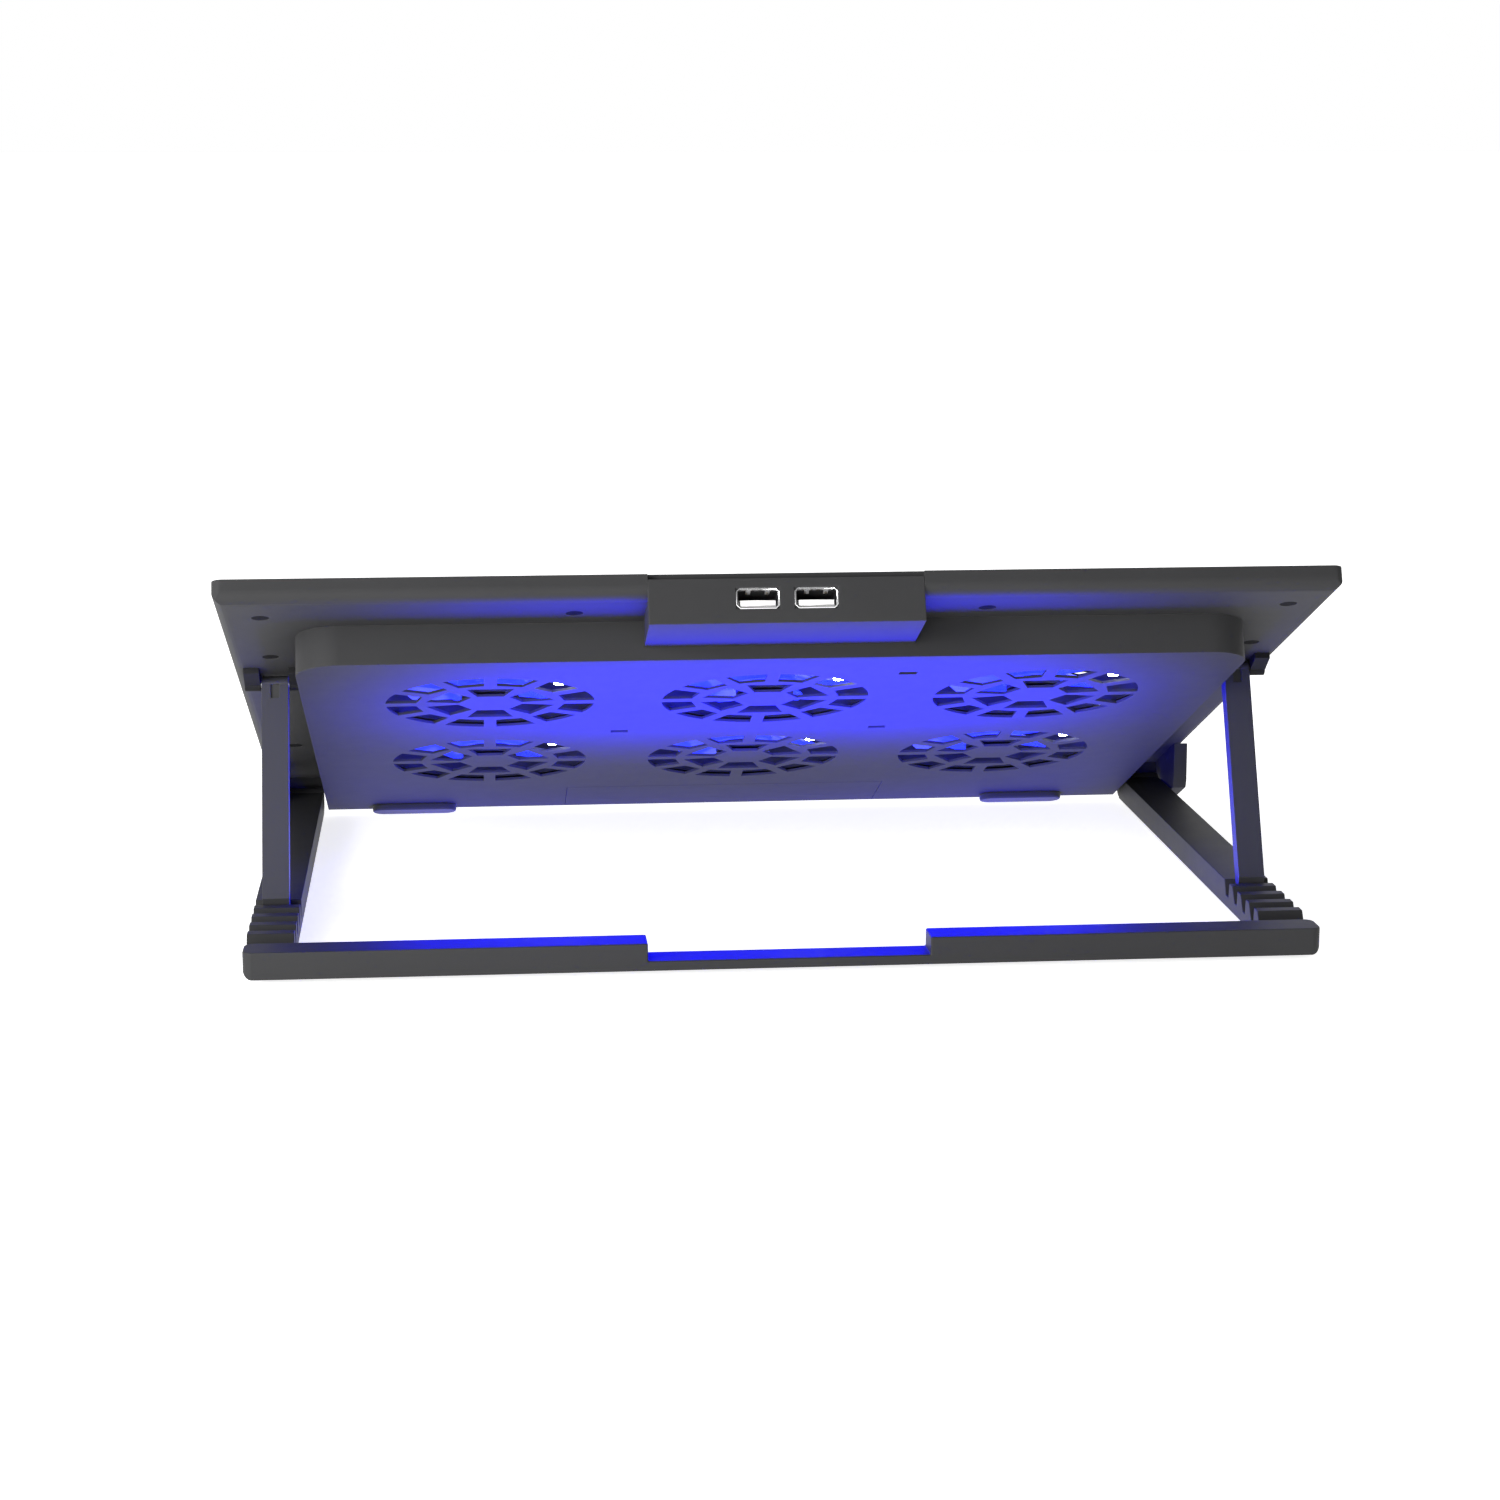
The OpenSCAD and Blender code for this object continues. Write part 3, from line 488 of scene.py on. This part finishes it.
# Sections of the insert: y, how much thinner and narrower on each side
INSERT_LOOPS = ((-13.35, 0.0, 0.0), (-1.6, 0.0, 0.0), (-1.0, 0.12, 0.15), (-0.85, 0.5, 0.4))
INSERT_Z = (0.05, 2.15)
INSERT_GAP = 0.42
for side, x in (("left", USB_PITCH / 2), ("right", -USB_PITCH / 2)):
    place = scaled(in_tray(x, TRAY_REAR, USB_Z))
    w, h = USB_OPEN
    bm = bmesh.new()
    loft(bm, [socket_loop(w + wider, h + higher, cut, depth) for wider, higher, cut, depth in SOCKET_SHELL])
    # Faces deep in the socket take the painted shade; the rim keeps the bright steel
    for face in bm.faces:
        face.material_index = 1 if face.calc_center_median().y < SOCKET_LIP else 0
    finish_mesh("socket_shell_" + side, bm, (SOCKET, SOCKET_PAINTED_SHADE), "tray", 35, place,
                ("usb_shell_" + side,))
    bm = bmesh.new()
    for sx in (-SPRING_X, SPRING_X):
        loft(bm, [section(sx, y, h / 2 - drop, h / 2 - drop + SPRING_T, width / 2, width / 2)
                  for y, width, drop in SPRING])
    finish_mesh("socket_springs_" + side, bm, SOCKET, "tray", 35, place)
    bm = bmesh.new()
    for i in range(CONTACTS):
        sx = -CONTACT_X + 2 * CONTACT_X / (CONTACTS - 1) * i
        z = -h / 2 + CONTACT_Z
        loft(bm, [section(sx, y, z - 0.1, z + lift, 0.5, 0.45) for y, lift in CONTACT])
    finish_mesh("socket_contacts_" + side, bm, GOLD, "tray", 35, place)
    bm = bmesh.new()
    loops = []
    for y, lift, inset in INSERT_LOOPS:
        half = w / 2 - INSERT_GAP - inset
        loops.append(section(0, y, -h / 2 + INSERT_Z[0] + lift, -h / 2 + INSERT_Z[1] - lift, half, half))
    loft(bm, loops)
    finish_mesh("socket_insert_" + side, bm, INSERT, "tray", 50, place,
                ("usb_tongue_" + side,))

# ---- Perforated metal panel on top: hexagons that share their outer corners ----
bm = bmesh.new()
corners = {}


def shared(px, py):
    key = (round(px * 50), round(py * 50))
    if key not in corners:
        corners[key] = bm.verts.new((px, py, 0))
    return corners[key]


HALF_SIXTH = math.radians(30)
OUTER_R = CELL / 2 / math.cos(HALF_SIXTH)
INNER_R = (CELL - RIB) / 2 / math.cos(HALF_SIXTH)
ROW = CELL * math.cos(HALF_SIXTH)
for j in range(-16, 17):
    for i in range(-20, 21):
        cx = (i + (0.5 if j % 2 else 0.0)) * CELL
        cy = 128 + j * ROW
        if abs(cx) > SHEET_X or not SHEET_Y[0] < cy < SHEET_Y[1]:
            continue
        outer = []
        inner = []
        for k in range(6):
            a = math.radians(30 + 60 * k)
            outer.append(shared(cx + OUTER_R * math.cos(a), cy + OUTER_R * math.sin(a)))
            inner.append(bm.verts.new((cx + INNER_R * math.cos(a), cy + INNER_R * math.sin(a), 0)))
        for k in range(6):
            bm.faces.new([outer[k], outer[(k + 1) % 6], inner[(k + 1) % 6], inner[k]])
bmesh.ops.recalc_face_normals(bm, faces=bm.faces)
bmesh.ops.solidify(bm, geom=bm.faces[:], thickness=SHEET_T)
finish_mesh("mesh_sheet", bm, MESH, "tray", 30, scaled(in_tray(0, 0, SHEET_Z)), ("mesh_panel",))

# ---- Laptop stops: rounded flaps with a ribbed rubber facing ----
STOP_RIB = ((3.2, 0.1, 0.0), (4.0, 0.7, 0.18), (9.4, 0.7, 0.18), (10.2, 0.1, 0.0))  # y, half width, height
for side, x in (("left", STOP_X), ("right", -STOP_X)):
    softened("stop_" + side, SHELL, 0.5, "stop_" + side)
    bm = bmesh.new()
    z = TOP_Z + 0.6
    for i in range(STOP_RIBS):
        sx = x - 22 + STOP_RIB_PITCH * i
        loft(bm, [section(sx, y, z - 0.2, z + lift, half, half * 0.7) for y, half, lift in STOP_RIB])
    finish_mesh("stop_ribs_" + side, bm, RUBBER, "stop_" + side, 30, scaled(in_tray(0, 0, 0)))

# ---- Floor, light and camera ----
FLOOR_HALF = 40.0
FLOOR_DROP = 0.0003  # metres below the lowest pieces, so that no faces coincide
FLOOR_GLOW = 0.78
floor_mat, floor_tree, floor_bsdf = node_tree("floor_paper")
floor_coords = add(floor_tree, "ShaderNodeTexCoord").outputs["Object"]
paper = ramp(floor_tree, noise(floor_tree, floor_coords, 3.0),
             [(0.2, (0.90, 0.90, 0.90)), (0.8, (0.93, 0.93, 0.93))])
floor_tree.links.new(paper, floor_bsdf.inputs["Base Color"])
floor_bsdf.inputs["Roughness"].default_value = 0.7
floor_bsdf.inputs["Emission Color"].default_value = (1.0, 1.0, 1.0, 1.0)
floor_bsdf.inputs["Emission Strength"].default_value = FLOOR_GLOW
bm = bmesh.new()
bmesh.ops.create_grid(bm, x_segments=8, y_segments=8, size=FLOOR_HALF)
mesh = bpy.data.meshes.new("floor")
bm.to_mesh(mesh)
bm.free()
floor = bpy.data.objects.new("floor", mesh)
mesh.materials.append(floor_mat)
floor.location = (0, 0, -FLOOR_DROP)
bpy.context.scene.collection.objects.link(floor)

world = bpy.data.worlds.new("studio")
bpy.context.scene.world = world
world.use_nodes = True
# Light from the backdrop: full from the front and +X side, falling off towards the rear and -X side
BRIGHT_SIDE = (0.6, -0.8, 0.0)
FALLOFF_DOT = (-0.7, 0.35)
FALLOFF_LIGHT = (0.16, 1.0)
sky = world.node_tree
backdrop = sky.nodes["Background"]
backdrop.inputs["Color"].default_value = (1.0, 1.0, 1.0, 1.0)
side_of = add(sky, "ShaderNodeVectorMath", operation="DOT_PRODUCT")
side_of.inputs[1].default_value = BRIGHT_SIDE
sky.links.new(add(sky, "ShaderNodeTexCoord").outputs["Generated"], side_of.inputs[0])
falloff = add(sky, "ShaderNodeMapRange", interpolation_type="SMOOTHSTEP")
falloff.inputs["From Min"].default_value = FALLOFF_DOT[0]
falloff.inputs["From Max"].default_value = FALLOFF_DOT[1]
falloff.inputs["To Min"].default_value = FALLOFF_LIGHT[0]
falloff.inputs["To Max"].default_value = FALLOFF_LIGHT[1]
sky.links.new(side_of.outputs["Value"], falloff.inputs["Value"])
# Seen directly, the backdrop is white all round
seen = add(sky, "ShaderNodeMath", operation="MAXIMUM")
sky.links.new(falloff.outputs["Result"], seen.inputs[0])
sky.links.new(add(sky, "ShaderNodeLightPath").outputs["Is Camera Ray"], seen.inputs[1])
sky.links.new(seen.outputs["Value"], backdrop.inputs["Strength"])


def area(name, place, aim, size, power, colour=(1, 1, 1)):
    """A rectangular lamp that faces a point; the camera doesn't see it."""
    data = bpy.data.lights.new(name, "AREA")
    data.shape = "RECTANGLE"
    data.size, data.size_y = size
    data.energy = power
    data.color = colour
    obj = bpy.data.objects.new(name, data)
    obj.location = place
    obj.rotation_euler = (Vector(aim) - Vector(place)).to_track_quat("-Z", "Y").to_euler()
    obj.visible_camera = False
    bpy.context.scene.collection.objects.link(obj)
    return obj


area("key", (0.85, 0.85, 0.42), (0, 0.08, 0.06), (0.6, 0.5), 13.5)
area("fill", (0.35, 1.0, 0.10), (0, 0.08, 0.07), (0.4, 0.12), 3.2)
bpy.context.scene.view_settings.view_transform = "Standard"

# Blue light from the fans falls on the underside, the inner faces of the frame and the legs
GLOW_BLUE = (0.0, 0.0, 1.0)
GLOW_Y = 101
under = in_tray(0, GLOW_Y, HOUSING_Z - 60).translation
over = in_tray(0, GLOW_Y, HOUSING_Z).translation
glow_up = area("glow_up", under, over, (0.22, 0.21), 7.8, GLOW_BLUE)
glow_up.data.spread = math.radians(120)
low = in_tray(0, 150, HOUSING_Z - 6).translation
glow_side = bpy.data.objects.new("glow_side", bpy.data.lights.new("glow_side", "POINT"))
glow_side.data.energy = 14.0
glow_side.data.color = GLOW_BLUE
glow_side.data.shadow_soft_size = 0.03
glow_side.location = in_tray(0, 175, HOUSING_Z - 30).translation
bpy.context.scene.collection.objects.link(glow_side)
glow_down = area("glow_down", low, (0.0, 0.11, 0.0), (0.26, 0.08), 0.8, GLOW_BLUE)
receivers = {}
for lamp in (glow_up, glow_down, glow_side):
    receivers[lamp.name] = bpy.data.collections.new(lamp.name + "_receivers")
    lamp.light_linking.receiver_collection = receivers[lamp.name]
    # The floor takes none of this light and doesn't block it either
    lamp.light_linking.blocker_collection = receivers[lamp.name]
for obj in bpy.context.scene.objects:
    if obj.type == "MESH" and obj.name != "floor":
        is_leg = obj.name.startswith(("leg_left", "leg_right"))
        is_base = obj.name.startswith("base_")
        if is_leg or is_base:
            receivers["glow_down"].objects.link(obj)
        if is_leg:
            receivers["glow_side"].objects.link(obj)
        if not is_base:
            receivers["glow_up"].objects.link(obj)

# From behind and slightly to +X, looking down
CAMERA_AT = (0.10187, 1.09858, 0.26759)
YAW, PITCH = math.radians(-5.249), math.radians(11.286)
LENS = 74.29
camera = bpy.data.objects.new("camera", bpy.data.cameras.new("camera"))
bpy.context.scene.collection.objects.link(camera)
camera.location = CAMERA_AT
forward = Vector((math.sin(YAW) * math.cos(PITCH), -math.cos(YAW) * math.cos(PITCH), -math.sin(PITCH)))
camera.rotation_euler = forward.to_track_quat("-Z", "Y").to_euler()
camera.data.sensor_width = 36
camera.data.lens = LENS
camera.data.clip_start = 0.01
camera.data.clip_end = 50
bpy.context.scene.camera = camera
